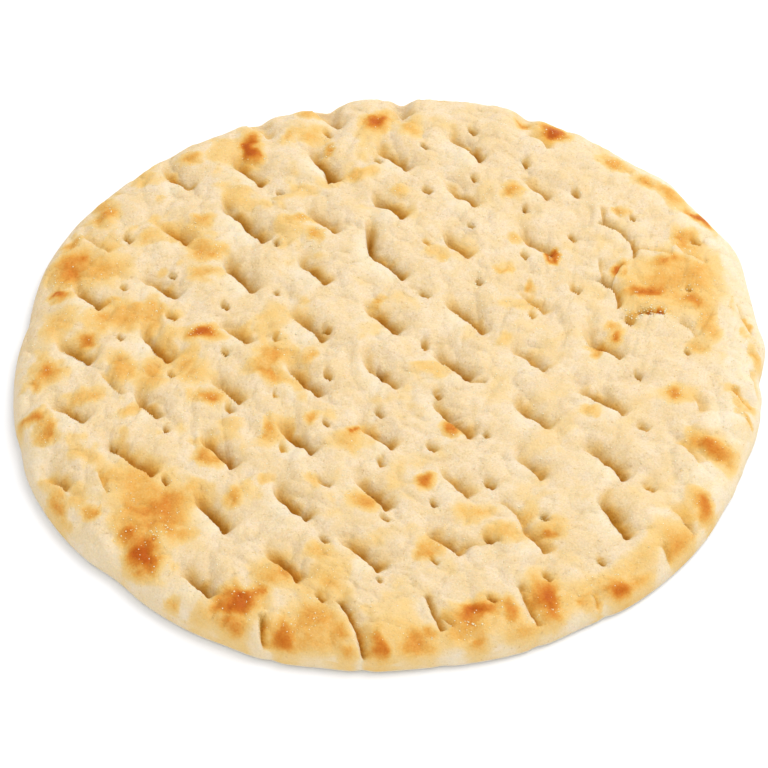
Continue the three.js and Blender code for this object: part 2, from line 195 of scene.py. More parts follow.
PIN_SIZE = 0.27  # a pinhole is a well on this scale
PIN_SPREAD = 1.6  # and its slope is wider by this
PIN_SIZE_SPREAD = 0.25  # share of it
PIN_TURN = 35
PIN_TURN_SPREAD = 25
PIN_PAINTED_SHADE = 0.85  # how dark a pinhole's painted shade is, against a deep well
PIN_DIP = 0.9  # depth of the wide dip round a pinhole
PIN_DIP_RADIUS = 2.8
PIN_STRAY = 0.4
PIN_SEEDS = 300

BLISTER_MIDDLE = (65, 21.5)
BLISTER_RADIUS = 12.5
BLISTER_HEIGHT = 1.1

MARK_MARGIN = 2.4  # marks die out over this distance from the edge
LEAST_THICKNESS = 2.6  # no mark goes deeper than this above the foot
# ------------ sizes of the finer relief

WALL_WIDTH = 0.9  # of a well's steep wall, seen from above
WALL_SPREAD = 2.5  # how much gentler it is where the wall turns up the left
WALL_SPREAD_SPAN = (-4, 3)  # where it grows gentler, beyond the half span
WANDER = 0.3  # how far a wall strays from its arc
WANDER_SIZE = 2.6
WANDER_STRETCH = 0.2
LEAN = 0.7  # how far a well's lip leans over it
LEAN_WIDTH = 2.6
BROW_DROP = 1.0  # how far the dough rounds down to the lip
BROW_WIDTH = 1.6
FOLD_HEIGHT = 0.33  # of the folds that run up a well's slope
FOLD_SPACING = 1.2
FOLD_STRETCH = 0.15
FOLD_PLACE = 3  # how far past the wall they are highest
FOLD_SPREAD = 12  # square of the distance in which they die out
TAIL_DEPTH = 0.7  # of the furrow that runs on past both ends of a well
TAIL_REACH = 5
TAIL_WIDTH = 2.5
TAIL_POWER = 4
BASIN_DEPTH = 0.8  # of the wide dip round a well
BASIN_PLACE = 3
BASIN_WIDTH = 6
BASIN_LENGTH = 8
PILLOW_HEIGHT = 0.85  # of the swelling that stands past a well
PILLOW_PLACE = 7.5
PILLOW_WIDTH = 4
BLISTER_POWER = 6
BLISTER_WAVER = 1.6  # how far its outline strays
BLISTER_WAVER_SIZE = 7
BLISTER_SEED = 21
PLEAT_SHARE = 2.2  # depth of the groove inside a notch of the edge, against the notch
PLEAT_PLACE = 4  # how far inside the edge the groove is deepest
PLEAT_REACH = 6
PLEAT_MARGIN = 0.4  # how much wider it is than the notch
# Lumps of the crust: size across, height, seed.
LUMPS = [(15, 0.45, 1), (7, 0.5, 2), (3.4, 0.2, 3), (1.7, 0.08, 4)]
# Pebbles of the crust, round above and creased between: size across, height, seed.
PEBBLES = [(6.4, 0.55, 6), (3.2, 0.34, 7), (1.4, 0.12, 8)]
PEBBLE_SOFTNESS = 0.02  # rounds the creases between them
UNDER_LUMPS = [(20, 0.35, 11), (6, 0.12, 12)]
UNDER_LUMPS_FROM = (6, 14)  # they begin and are complete this far inside the edge

# ------------ painted shade of a mark, and how bare it is

SHADE_REACH = 2.9  # how far the painted shade of a well reaches up its slope
SHADE_UNEVEN = 0.35
SHADE_UNEVEN_SIZE = 1.6
SHADE_UNEVEN_STRETCH = 0.3
SHADE_POWER = 4
SHADE_HAZE = 0.12  # of the faint painted shade beyond it
SHADE_HAZE_REACH = 7
SHADE_SPAN_POWER = 1.5
SHADE_GAIN = 1.25  # how dark a well's painted shade is, against its share of the full depth
RIDGE_WIDTH = 3.2  # of the pale ridge on the near side of a well: floury, and partly a painted highlight
RIDGE_START = 0.3  # share of the width in which it is palest
# paleness of the ridge, partly a painted highlight
RIDGE_PALE_AND_HIGHLIGHT = 0.6
BARE = 0.7  # share of its toast that a bare ridge lacks
LIP_BARE = 0.7  # the same for a well, against a crease, and only towards its left
LIP_BARE_SPAN = (-3, 3)
PIN_BARE_RADIUS = 1.7

# ------------ the mesh

TOP_RINGS = 250
RING_GROWTH = 6  # corners more in each ring than in the one inside it
RIM_CROWDING = 1.5  # draws the outermost rings together
UNDER_STEPS = 6
FOOT_STRETCH = 1.2  # distance between rings of the foot, against the spacing of their corners
FOOT_LEAST_STEP = 0.8
FOOT_SPACING = 1.2  # where corners lie closer than this, the next ring has half as many
FOOT_LEAST_COUNT = 12
FOOT_LAST_RADIUS = 2
FACE_LIMIT = 188_000  # the mesh is thinned to this many triangles
NOISE_CELLS = 256
FOOT_DISC = 0.94  # share of the unrolled underside that is the foot
TOP_DISC = (0.45, 0.45, 0.445)  # middle and radius of the top in the map
UNDER_DISC = (0.9, 0.9, 0.095)
UNDER_SHARE = 0.25  # a triangle belongs to the underside where its corners average more

# ------------ toasted spots

SPOT_SHIFT = -1.5  # of the whole list, in y
# x, y, length, width, turn of the length in degrees, strength (1 is dark)
SPOTS = [
    (-34.8, 70.2, 9, 3.6, 108, 1.05), (-3, 79, 6.5, 5.5, 30, 1.0), (41.5, 75.8, 6.5, 6.5, 120, 1.1),
    (-50, 65.6, 5, 3, 0, 0.5), (-19.7, 82.3, 6, 3, 160, 0.5), (-70.5, 46, 8, 4.5, 95, 0.5),
    (-78, 36.8, 5, 3, 30, 0.62), (-77.5, 28.3, 11, 8, 80, 0.7), (-71, 27, 12, 9, 0, 0.46),
    (-79.3, 19.2, 5.5, 2.8, 165, 1.0), (-46, 43.9, 5, 2.5, 20, 0.4), (-45.3, 33.6, 7, 5, 0, 0.42),
    (-44.7, 25.6, 6, 3.5, 0, 0.42), (-58, 36.9, 5, 4, 0, 0.3), (-21.3, 43.3, 5, 3.5, 0, 0.55),
    (-18, 37.9, 3, 3.5, 0, 0.5), (-15.3, 68.6, 2.5, 3.5, 0, 0.55), (-19.3, 74.3, 6, 6, 0, 0.35),
    (-25.7, 73.3, 3, 5, 0, 0.4), (-44, 5.6, 6, 4, 0, 1.0), (-56.7, 13.3, 8, 3.5, 90, 0.45),
    (-63.3, 11.3, 14, 8, 10, 0.45), (-71.3, 3.9, 3.6, 3, 60, 0.52), (-66.7, 16.3, 4, 2.5, 0, 0.45),
    (-80.7, -5.4, 6, 6, 0, 0.55), (-83.7, -9.1, 3, 3, 0, 0.5), (-79, 9, 9, 7, 70, 0.34),
    (-63.3, -5.4, 8, 5, 90, 0.48), (-56, -6.4, 8, 6.5, 80, 0.5), (-28, -0.1, 8, 7, 40, 0.42),
    (-19.3, -1.4, 4, 4, 0, 0.4), (-47, -5.4, 9, 8, 0, 0.3), (-2.7, 16.9, 2.2, 2.5, 0, 0.5),
    (5.3, 75.9, 5, 7, 0, 0.38), (2, 54.6, 4, 5, 0, 0.3), (-7.3, 59.9, 7, 4, 0, 0.28),
    (30.3, 53.6, 4.5, 4.5, 0, 0.65), (33.7, 79.3, 3, 3, 0, 0.5), (56.7, 63.9, 6, 4, 150, 0.55),
    (63.3, 57.9, 5, 4, 140, 0.55), (68.7, 53.9, 9, 4, 125, 0.5), (75.9, 45.4, 8, 2.4, 122, 0.95),
    (57, 46.9, 3, 3, 0, 0.5), (30.7, 37.3, 4, 3, 150, 0.5), (39.3, 31.4, 2.1, 2.4, 0, 0.97),
    (28, 27.3, 3, 3, 0, 0.4), (34, 22.6, 3, 3, 0, 0.45), (72.7, 36.3, 7, 4.5, 110, 0.6),
    (55.7, 26, 4, 2, 68, 0.95), (61.8, 18.7, 9.5, 4.2, 5, 0.78), (67.8, 29.0, 8, 4.5, 10, 0.66),
    (72.5, 16.8, 8, 4, 140, 0.6), (75, 24, 16, 6, 100, 0.38), (76, 8.6, 11, 5, 90, 0.42),
    (62, 11.6, 8, 1.6, 0, 0.75), (68, 22.6, 20, 17, 0, 0.36), (54.5, 5, 3.6, 2.8, 60, 0.75),
    (52.7, 7.9, 2.6, 2.6, 0, 0.5), (47.6, 0.9, 3.6, 2, 0, 0.7), (72.7, 1.9, 5, 5, 0, 0.35),
    (86.8, 0, 9, 3.2, 100, 0.42), (85, 9.5, 16, 1.6, 110, 0.4), (31.3, 15.9, 8, 4, 0, 0.22),
    (27.3, 4.3, 4, 4, 0, 0.28), (12, 32.6, 4, 4, 0, 0.28), (10.3, -4.6, 7, 3, 170, 0.3),
    (-83.7, -20.1, 6, 3.5, 170, 0.62), (-79.3, -24.1, 5, 4, 120, 0.6), (-70, -13.4, 9, 4, 15, 0.4),
    (-60.7, -18.4, 4, 4, 0, 0.42), (-26, -7.7, 9, 2.6, 150, 0.5), (-42, -13.7, 6, 4, 0, 0.78),
    (-27.3, -24.1, 2.6, 5, 0, 0.6), (-18.7, -20.4, 2.4, 3, 0, 0.55), (-9, -24.7, 3, 2.6, 30, 0.95),
    (-9.5, -26.9, 7, 6, 0, 0.35), (-43.3, -30.7, 4, 2.4, 150, 0.65), (-42.3, -33.1, 6, 3, 150, 0.55),
    (-35.3, -44.4, 3, 5, 0, 0.5), (-18, -39.4, 3, 4, 0, 0.32), (-28.7, -38.1, 3, 4, 0, 0.3),
    (-7, -45.7, 7, 5, 150, 0.6), (-55, -44.4, 22, 13, 125, 0.46), (-76.7, -44.7, 5, 5, 0, 0.55),
    (-75.3, -49.4, 4, 4, 0, 0.5), (-68, -48.4, 3.5, 3.5, 0, 0.55), (-54.9, -60, 9.5, 6, 120, 1.0),
    (-59.3, -54.7, 5, 5, 0, 0.65), (-47.3, -54.1, 7, 5, 30, 0.45), (-33.6, -73.1, 8.5, 5.5, 10, 1.0),
    (-30, -70.7, 5, 4, 60, 0.7), (-34.7, -80.1, 6, 7, 0, 0.62), (-33.3, -84.4, 8, 5, 160, 0.6),
    (-26, -66.1, 8, 6, 150, 0.45), (-23.4, -80.6, 4.5, 6.5, 10, 0.75), (-16.7, -78.4, 12, 12, 0, 0.42),
    (-10.7, -80.1, 4, 4, 0, 0.55), (-9.3, -86.1, 4, 4, 0, 0.6), (-2.7, -85.4, 4, 6, 0, 0.85),
    (-16, -59.4, 5, 4, 0, 0.32), (8, -39.4, 3.4, 3, 0, 0.85), (14.5, -23.3, 3, 2.8, 0, 0.85),
    (8, -58.7, 4, 4.5, 0, 0.55), (46.7, -18.1, 4, 3, 0, 0.4), (66.6, -12.7, 3, 3.4, 0, 0.75),
    (67, -13, 7, 5, 0, 0.3), (81.7, -13.2, 6.5, 2.4, 133, 0.55), (83.2, -19.8, 6.5, 2, 118, 0.42),
    (74.3, -28.7, 10, 5, 145, 0.68), (72, -46.7, 9, 4, 120, 0.75), (65.3, -56.1, 10, 8, 130, 0.55),
    (36, -54.1, 3.4, 3, 0, 0.7), (36, -53.4, 7, 6, 0, 0.35), (26.3, -54.7, 8, 5, 0, 0.38),
    (31.3, -48.1, 4, 4, 0, 0.35), (19.3, -48.1, 7, 5, 0, 0.35), (19.4, -75.6, 8.5, 5.2, 15, 0.98),
    (26.7, -75.4, 3.4, 6, 15, 0.7), (34.5, -72.6, 5.8, 9.5, 15, 0.95), (19, -84.1, 4, 5, 0, 0.65),
    (5.3, -84.1, 9, 7, 0, 0.5), (8.7, -80.7, 4, 3, 0, 0.6), (50.8, -69.2, 5.4, 6.8, 20, 0.92),
    (55.3, -66.7, 8, 6, 30, 0.48), (44.7, -74.1, 3.4, 8, 15, 0.75), (16, -79.4, 10, 6, 10, 0.45),
    (30, -80.4, 10, 5, 15, 0.4), (-44, -79.4, 9, 4, 145, 0.35), (-60.3, -66.4, 3.5, 2.6, 140, 0.35),
    (-48.2, -73, 3.4, 3.4, 0, 0.5), (-60, -51.4, 10, 6, 120, 0.35), (-12, -69.4, 8, 5, 120, 0.25),
]
SPOT_WAVERS = [(3.5, 1.3), (1.3, 0.6)]  # of the spots' outlines: size across, shift
SPOT_SEEDS = (31, 33)  # of the wavers in x and in y
SPOT_SCALE = 0.6  # share of its size in which a spot loses two thirds of its strength
SPOT_POWER = 2.6
SPOT_REACH = (1.6, 3)  # share of its size, and a margin, beyond which a spot has no effect
CLOUDS = [(9, 1, 35), (4, 0.7, 36), (1.8, 0.35, 37)]  # size across, weight, seed
CLOUD_STEP = (0.1, 1.1)
CLOUD_TOAST = 0.26
CLOUD_LEFT = (0.35, 0.65)  # least, and how much more on the left
CLOUD_LEFT_STEP = (-30, 70)  # how far left, in x
BAND_TOAST = 0.24  # of the golden band along the front rim
BAND_ARC = [(-128, -105), (-48, -25)]  # where it begins and where it ends, in degrees
BAND_PLACE = 5
BAND_WIDTH = 3
SKIRT_TOAST = (0.35, 0.65)  # of the edge itself, and how much more further in
SKIRT_STEP = (0.2, 2)
MOST_TOAST = 1.15
UNDER_BLOTCHES = [(16, 1, 51), (7, 0.6, 52), (3, 0.3, 53)]
UNDER_BLOTCH_STEP = (-0.5, 1.2)
UNDER_TOAST = (0.25, 0.6)  # least, and how much more in a blotch
UNDER_TOAST_FROM = (1, 10)
UNDER_PALE_RIM = (0, 5)

PALE_WOBBLE = 2
PALE_WOBBLE_SIZE = 9
PALE_SEED = 41
RIGHT_ARC = [(-62, -30), (38, 62)]  # of the undocked band at the right
RIGHT_STEP = (7, 13)  # the band ends this far inside the edge
RIGHT_PALE = 0.5
LEFT_MIDDLE = -160  # of the pale outer rim at the left, partly painted light
LEFT_STEP = (35, 60)
OUTER_STEP = (0, 9)
# paleness of the left outer rim, partly painted light
OUTER_PALE_AND_LIGHT = 0.3
FRONT_ARC = [(-140, -100), (-50, -20)]  # of the pale edge at the front
FRONT_STEP = (0.5, 2.2)
FRONT_WOBBLE = 0.3
FRONT_PALE = 0.5


# ------------ plain helpers


def scatter(i, j, k):
    """A fixed scatter between -1 and 1 for the numbers given."""
    wave = math.sin(i * 127.1 + j * 311.7 + k * 74.7) * 43758.5453
    return 2 * (wave - math.floor(wave)) - 1


def smooth(x, low, high):
    """Rises smoothly from 0 at low to 1 at high."""
    t = np.clip((x - low) / (high - low), 0, 1)
    return t * t * (3 - 2 * t)


def between(x, rise, fall):
    """1 between two smooth steps, and 0 outside them."""
    return smooth(x, *rise) * (1 - smooth(x, *fall))


def bell(t, power=2):
    """1 in the middle, and falls past 1; the higher the even power, the flatter its top."""
    return np.exp(-(t**power))


def noise(x, y, size, seed):
    """Smooth noise between -1 and 1, with bumps about size across."""
    rng = np.random.default_rng(seed)
    table = rng.uniform(-1, 1, (NOISE_CELLS, NOISE_CELLS))
    turn = rng.uniform(0, math.pi)
    u = (x * math.cos(turn) - y * math.sin(turn)) / size + NOISE_CELLS / 2
    v = (x * math.sin(turn) + y * math.cos(turn)) / size + NOISE_CELLS / 2
    i = np.floor(u).astype(int)
    j = np.floor(v).astype(int)
    s = smooth(u - i, 0, 1)
    t = smooth(v - j, 0, 1)
    i, j = i % NOISE_CELLS, j % NOISE_CELLS
    i2, j2 = (i + 1) % NOISE_CELLS, (j + 1) % NOISE_CELLS
    near = table[i, j] * (1 - s) + table[i2, j] * s
    far = table[i, j2] * (1 - s) + table[i2, j2] * s
    return near * (1 - t) + far * t


def layered_noise(x, y, layers):
    """Noise of several sizes, each with its weight and seed."""
    return sum(weight * noise(x, y, size, seed) for size, weight, seed in layers)


def turn_from(angle, place):
    """How far each angle, in radians, lies from a place, in degrees."""
    return (angle - math.radians(place) + math.pi) % (2 * math.pi) - math.pi


def edge_radius(angle):
    radius = np.full_like(angle, EDGE_RADIUS)
    for count, height, phase in EDGE_WAVES:
        radius += height * np.cos(count * angle - math.radians(phase))
    notches = [(place, -depth, half_width) for place, depth, half_width in EDGE_NOTCHES]
    for place, height, half_width in notches + EDGE_BULGES:
        radius += height * bell(turn_from(angle, place) * EDGE_RADIUS / half_width)
    return radius


def inside_edge(x, y):
    """How far a point lies inside the edge."""
    return edge_radius(np.arctan2(y, x)) - np.hypot(x, y)


def grid_place(middle, across, down, column, line):
    """A place in a skewed grid."""
    x = middle[0] + column * across[0] + line * down[0]
    y = middle[1] + column * across[1] + line * down[1]
    return x, y


# ------------ wells, pinholes and creases


class Mark:
    """A docking mark with a steep wall and a slope that rises away from it."""

    def __init__(self, place, turn, half_span, depth, seed, size=1, spread=1):
        self.x, self.y = place
        self.rise = (math.cos(math.radians(turn)), math.sin(math.radians(turn)))
        self.half_span = half_span
        self.depth = depth
        self.size = size
        self.spread = spread
        self.seed = seed
        self.straight = half_span - WELL_HALF_SPAN
        self.bend = None

    def near(self, x, y):
        """Numbers of the places that the mark can reach."""
        reach = WELL_REACH * max(self.size, LEAST_REACH_SHARE)
        return np.flatnonzero(np.hypot(x - self.x, y - self.y) < reach)

    def frame(self, x, y):
        """Where places lie in the mark: along the wall, and past it up the slope."""
        dx, dy = (x - self.x) / self.size, (y - self.y) / self.size
        along = dx * self.rise[1] - dy * self.rise[0]
        if self.bend:
            bow = np.minimum(along**2, 2 * self.half_span**2) / (2 * self.bend)
        else:
            left = np.maximum(-along - self.straight, 0)
            straight_from = WELL_BEND * WELL_BEND_SLOPE
            bow = np.minimum(left, straight_from) ** 2 / (2 * WELL_BEND)
            bow += WELL_BEND_SLOPE * np.maximum(left - straight_from, 0)
        past = dx * self.rise[0] + dy * self.rise[1] - bow
        return along, past

    def span(self, along, up):
        """1 beside the wall, and 0 beyond both of its ends."""
        fade_in = CREASE_FADE_IN if self.bend else WELL_FADE_IN
        start, end = (-self.half_span - reach for reach in fade_in)
        span = smooth(along + WELL_FAN * up, start, end)
        start, end = (self.half_span + reach for reach in WELL_FADE_OUT)
        span *= 1 - smooth(along - WELL_FAN * up, start, end)
        return span

    def wall(self, along, past):
        """0 on the near side of the wall, and 1 on the slope's side."""
        start, end = (self.half_span + reach for reach in WALL_SPREAD_SPAN)
        width = WALL_WIDTH * (1 + WALL_SPREAD * smooth(-along, start, end))
        return smooth(past, -width / 2, width / 2)


def grid_marks(make, rows, first_column, first_line):
    """One mark for each digit of a grid that is not 0."""
    return [
        make(column, line, int(digit))
        for line, digits in enumerate(rows, first_line)
        for column, digit in enumerate(digits, first_column)
        if digit != "0"
    ]


def make_well(column, line, digit):
    x, y = grid_place(WELL_MIDDLE, WELL_ACROSS, WELL_DOWN, column, line)
    if (column, line) in ODD_WELLS:
        half_span, dx, dy, turn, straight = ODD_WELLS[column, line]
    else:
        dx = WELL_STRAY * scatter(column, line, 1)
        dy = WELL_STRAY * scatter(column, line, 2)
        half_span = WELL_HALF_SPAN * (1 + WELL_SPAN_SPREAD * scatter(column, line, 3))
        turn = WELL_TURN + WELL_TURN_SPREAD * scatter(column, line, 4)
        straight = half_span - WELL_HALF_SPAN
    seed = WELL_SEEDS + 10 * line + column
    well = Mark((x + dx, y + dy), turn, half_span, WELL_DEPTH * digit / DEEPEST_DIGIT, seed)
    well.straight = straight
    return well


def make_pin(column, line, digit):
    x, y = grid_place(PIN_MIDDLE, PIN_ACROSS, PIN_DOWN, column, line)
    x += PIN_STRAY * scatter(column, line, 5)
    y += PIN_STRAY * scatter(column, line, 6)
    dx, dy = ODD_PINS.get((column, line), (0, 0))
    turn = PIN_TURN + PIN_TURN_SPREAD * scatter(column, line, 7)
    size = PIN_SIZE * (1 + PIN_SIZE_SPREAD * scatter(column, line, 8))
    depth = PIN_DEPTH * digit / DEEPEST_DIGIT
    seed = PIN_SEEDS + 20 * line + column
    return Mark((x + dx, y + dy), turn, WELL_HALF_SPAN, depth, seed, size, PIN_SPREAD)


def make_creases():
    creases = []
    for seed, (x, y, turn, half_span, depth, bend) in enumerate(CREASES, CREASE_SEEDS):
        crease = Mark((x, y), turn, half_span / CREASE_SIZE, depth, seed, CREASE_SIZE)
        crease.bend = bend / CREASE_SIZE
        creases.append(crease)
    return creases


WELLS = grid_marks(make_well, WELL_DIGITS, FIRST_COLUMN, FIRST_LINE) + make_creases()
PINS = grid_marks(make_pin, PIN_DIGITS, PIN_FIRST_COLUMN, PIN_FIRST_LINE)


# ------------ the surface of the loaf


def crown_height(x, y):
    """The smooth loaf before it is docked."""
    inward = np.clip(inside_edge(x, y) / RIM_WIDTH, 0, 1)
    roll = (1 - (1 - inward) ** RIM_POWER) ** (1 / RIM_POWER)
    dish = CROWN_DISH * bell(np.hypot(x, y) / DISH_RADIUS)
    return WIDEST_HEIGHT + (CROWN_HEIGHT - dish - WIDEST_HEIGHT) * roll


class Relief:
    """What the marks do to a set of places; each field holds one number for each place."""

    def __init__(self, x, y):
        self.x, self.y = x, y
        # dark holds the painted shade of the marks; ridge the paleness of their ridges, partly a
        # painted highlight.
        for field in ("height", "shift_x", "shift_y", "dark", "ridge", "bare"):
            setattr(self, field, np.zeros_like(x))

    def add_mark(self, mark):
        near = mark.near(self.x, self.y)
        along, past = mark.frame(self.x[near], self.y[near])
        past = past + WANDER * noise(along, past * WANDER_STRETCH, WANDER_SIZE, mark.seed)
        up, behind = np.maximum(past, 0) / mark.spread, np.minimum(past, 0)
        span, wall = mark.span(along, up), mark.wall(along, past)
        share = mark.depth / WELL_DEPTH
        height = self.height

        slope = (1 - smooth(up, *WELL_SLOPE_END)) / (1 + (up / WELL_SLOPE) ** WELL_SLOPE_POWER)
        lip = bell(behind / WELL_LIP_WIDTH) * (1 - wall)
        brow = np.exp(behind / BROW_WIDTH) * (1 - wall)
        folds = noise(along, past * FOLD_STRETCH, FOLD_SPACING, mark.seed + 1)
        folds = folds * np.exp(-((up - FOLD_PLACE) ** 2) / FOLD_SPREAD)
        height[near] += span * share * (WELL_LIP * lip - BROW_DROP * brow)
        height[near] -= span * mark.depth * wall * slope
        height[near] += span * wall * FOLD_HEIGHT * share * folds
        if mark.spread == 1 and not mark.bend:
            tail = bell(along / (mark.half_span + TAIL_REACH), TAIL_POWER)
            height[near] -= TAIL_DEPTH * share * tail * wall * bell(up / TAIL_WIDTH)
            basin = ((past - BASIN_PLACE) / BASIN_WIDTH) ** 2 + (along / BASIN_LENGTH) ** 2
            height[near] -= BASIN_DEPTH * share * np.exp(-basin)
        height[near] += PILLOW_HEIGHT * share * span * bell((past - PILLOW_PLACE) / PILLOW_WIDTH)

        lean = LEAN * mark.size * (1 - wall) * span * bell(behind / LEAN_WIDTH)
        self.shift_x[near] += lean * mark.rise[0]
        self.shift_y[near] += lean * mark.rise[1]
        self.add_painted_shade(mark, near, along, past, span, wall)
        self.add_ridge(mark, near, along, past, span, wall)

    def add_painted_shade(self, mark, near, along, past, span, wall):
        """Painted shade on the slope beside the wall: it is painted darkest by the wall, where the
        well lies in shade.
        """
        up = np.maximum(past, 0) / mark.spread
        # painted shade: how strongly this mark darkens the crust's colour
        shade_share = PIN_PAINTED_SHADE if mark.spread > 1 else min(1, SHADE_GAIN * mark.depth / WELL_DEPTH)
        uneven = noise(along, past * SHADE_UNEVEN_STRETCH, SHADE_UNEVEN_SIZE, mark.seed + 2)
        reach = SHADE_REACH * (1 + SHADE_UNEVEN * uneven)
        deep = bell(up / reach, SHADE_POWER) + SHADE_HAZE * bell(up / SHADE_HAZE_REACH)
        self.dark[near] += span**SHADE_SPAN_POWER * shade_share * wall * deep

    def add_ridge(self, mark, near, along, past, span, wall):
        """The ridge on the near side of the wall is floury and little toasted; its paleness is partly
        a painted highlight.
        """
        beside = np.minimum(past + RIDGE_WIDTH * RIDGE_START, 0) / (RIDGE_WIDTH * mark.spread)
        beside = span * (1 - wall) * bell(beside)
        share = mark.depth / WELL_DEPTH
        self.ridge[near] = np.maximum(self.ridge[near], share * beside)
        bare_share = 1 if mark.bend else LIP_BARE * smooth(-along, *LIP_BARE_SPAN)
        self.bare[near] = np.maximum(self.bare[near], bare_share * beside)

    def add_pin_dip(self, pin):
        """The dough sinks a little round a pinhole."""
        near = pin.near(self.x, self.y)
        away = np.hypot(self.x[near] - pin.x, self.y[near] - pin.y)
        self.height[near] -= PIN_DIP * np.exp(-away / PIN_DIP_RADIUS)
        self.bare[near] = np.maximum(self.bare[near], bell(away / PIN_BARE_RADIUS))

    def add_blister(self):
        away = np.hypot(self.x - BLISTER_MIDDLE[0], self.y - BLISTER_MIDDLE[1])
        away += BLISTER_WAVER * noise(self.x, self.y, BLISTER_WAVER_SIZE, BLISTER_SEED)
        self.height += BLISTER_HEIGHT * bell(away / BLISTER_RADIUS, BLISTER_POWER)

    def add_pleats(self, inward):
        """A groove runs in from each notch of the edge."""
        angle = np.arctan2(self.y, self.x)
        for place, depth, half_width in EDGE_NOTCHES:
            groove = bell(turn_from(angle, place) * EDGE_RADIUS / (half_width + PLEAT_MARGIN))
            inner = bell((inward - PLEAT_PLACE) / PLEAT_REACH)
            self.height -= PLEAT_SHARE * depth * groove * inner

    def add_lumps(self):
        for size, height, seed in LUMPS:
            self.height += height * noise(self.x, self.y, size, seed)
        for size, height, seed in PEBBLES:
            bumps = np.sqrt(np.abs(noise(self.x, self.y, size, seed)) + PEBBLE_SOFTNESS)
            self.height += height * (2 * bumps - 1)


def top_surface(x, y):
    """The relief of places seen from above; its height is then their height over the foot."""
    relief = Relief(x, y)
    for mark in WELLS + PINS:
        relief.add_mark(mark)
    for pin in PINS:
        relief.add_pin_dip(pin)
    relief.add_blister()
    inward = inside_edge(x, y)
    relief.add_pleats(inward)
    relief.add_lumps()

    fade = smooth(inward, 0, MARK_MARGIN)
    crown = crown_height(x, y)
    least = np.minimum(crown, LEAST_THICKNESS)
    relief.height = np.maximum(crown + relief.height * fade, least)
    relief.shift_x *= fade
    relief.shift_y *= fade
    relief.dark = np.clip(relief.dark * fade, 0, 1)
    return relief


# ------------ how toasted and how pale


def wavered(values, x, y, seed):
    """Moves coordinates a little to and fro, so that an outline drawn in them is uneven."""
    for step, (size, shift) in enumerate(SPOT_WAVERS):
        values = values + shift * noise(x, y, size, seed + step)
    return values


def spots_at(x, y):
    """How toasted the listed spots make the crust."""
    wx, wy = (wavered(values, x, y, seed) for values, seed in zip((x, y), SPOT_SEEDS))
    rest = np.ones_like(x)
    share, margin = SPOT_REACH
    for spot_x, spot_y, length, width, turn, strength in SPOTS:
        spot_y += SPOT_SHIFT
        reach = share * max(length, width) + margin
        near = np.flatnonzero(np.hypot(x - spot_x, y - spot_y) < reach)
        dx, dy = wx[near] - spot_x, wy[near] - spot_y
        c, s = math.cos(math.radians(turn)), math.sin(math.radians(turn))
        along = (dx * c + dy * s) / (SPOT_SCALE * length)
        across = (dy * c - dx * s) / (SPOT_SCALE * width)
        toast = strength * bell(np.hypot(along, across), SPOT_POWER)
        rest[near] = np.minimum(rest[near], 1 - toast)
    return 1 - rest


def toast_at(x, y):
    """How toasted the crust is: 0 pale, about 0.4 golden, 0.7 orange brown and 1 dark."""
    least, more = CLOUD_LEFT
    left = least + more * smooth(-x, *CLOUD_LEFT_STEP)
    mottle = CLOUD_TOAST * left * smooth(layered_noise(x, y, CLOUDS), *CLOUD_STEP)
    angle = np.degrees(np.arctan2(y, x))
    inward = inside_edge(x, y)
    band = BAND_TOAST * between(angle, *BAND_ARC) * bell((inward - BAND_PLACE) / BAND_WIDTH)
    least, more = SKIRT_TOAST
    skirt = least + more * smooth(inward, *SKIRT_STEP)
    return np.clip(np.maximum(spots_at(x, y), band) + mottle, 0, MOST_TOAST) * skirt


def pale_and_painted_light_at(x, y):
    """How pale the crust is, as by the edge and on the undocked band; 1 would be floury. The left
    outer rim's paleness is partly painted light.
    """
    angle = np.degrees(np.arctan2(y, x))
    inward = inside_edge(x, y)
    wobble = PALE_WOBBLE * noise(x, y, PALE_WOBBLE_SIZE, PALE_SEED)
    band = between(angle, *RIGHT_ARC) * (1 - smooth(inward + wobble, *RIGHT_STEP))
    left = 1 - smooth(np.abs(angle - LEFT_MIDDLE), *LEFT_STEP)
    outer = left * (1 - smooth(inward + wobble, *OUTER_STEP))
    front = 1 - smooth(inward + FRONT_WOBBLE * wobble, *FRONT_STEP)
    skirt = between(angle, *FRONT_ARC) * front
    pale = np.maximum(np.maximum(RIGHT_PALE * band, OUTER_PALE_AND_LIGHT * outer), FRONT_PALE * skirt)
    return np.clip(pale, 0, 1)


def under_toast(x, y, inward):
    """Toasting of the underside: golden brown blotches from the oven's floor, pale by the edge."""
    blotch = smooth(layered_noise(x, y, UNDER_BLOTCHES), *UNDER_BLOTCH_STEP)
    least, more = UNDER_TOAST
    return smooth(inward, *UNDER_TOAST_FROM) * (least + more * blotch)


# ------------ the mesh of the loaf


def ring(radius_of, count):
    """Places round one ring."""
    angle = np.arange(count) * (2 * math.pi / count)
    radius = radius_of(angle)
    return radius * np.cos(angle), radius * np.sin(angle)


def level_ring(share, count, side):
    """Places round one circle of the unrolled loaf, and which of its sides they are on."""
    x, y = ring(lambda angle: np.full_like(angle, share), count)
    return np.stack([x, y, np.full(count, side)], 1)


def stitch(outer, outer_count, inner, inner_count):
    """Triangles between an outer ring of corners and an inner one with as many or fewer."""
    a = np.arange(outer_count)
    b = a * inner_count // outer_count
    b_next = (a + 1) * inner_count // outer_count
    a_next = (a + 1) % outer_count
    outward = np.stack([outer + a, outer + a_next, inner + b % inner_count], 1)
    steps = (b_next != b) & (inner_count > 1)
    inward = np.stack([inner + b % inner_count, outer + a_next, inner + b_next % inner_count], 1)
    return np.concatenate([outward, inward[steps]])


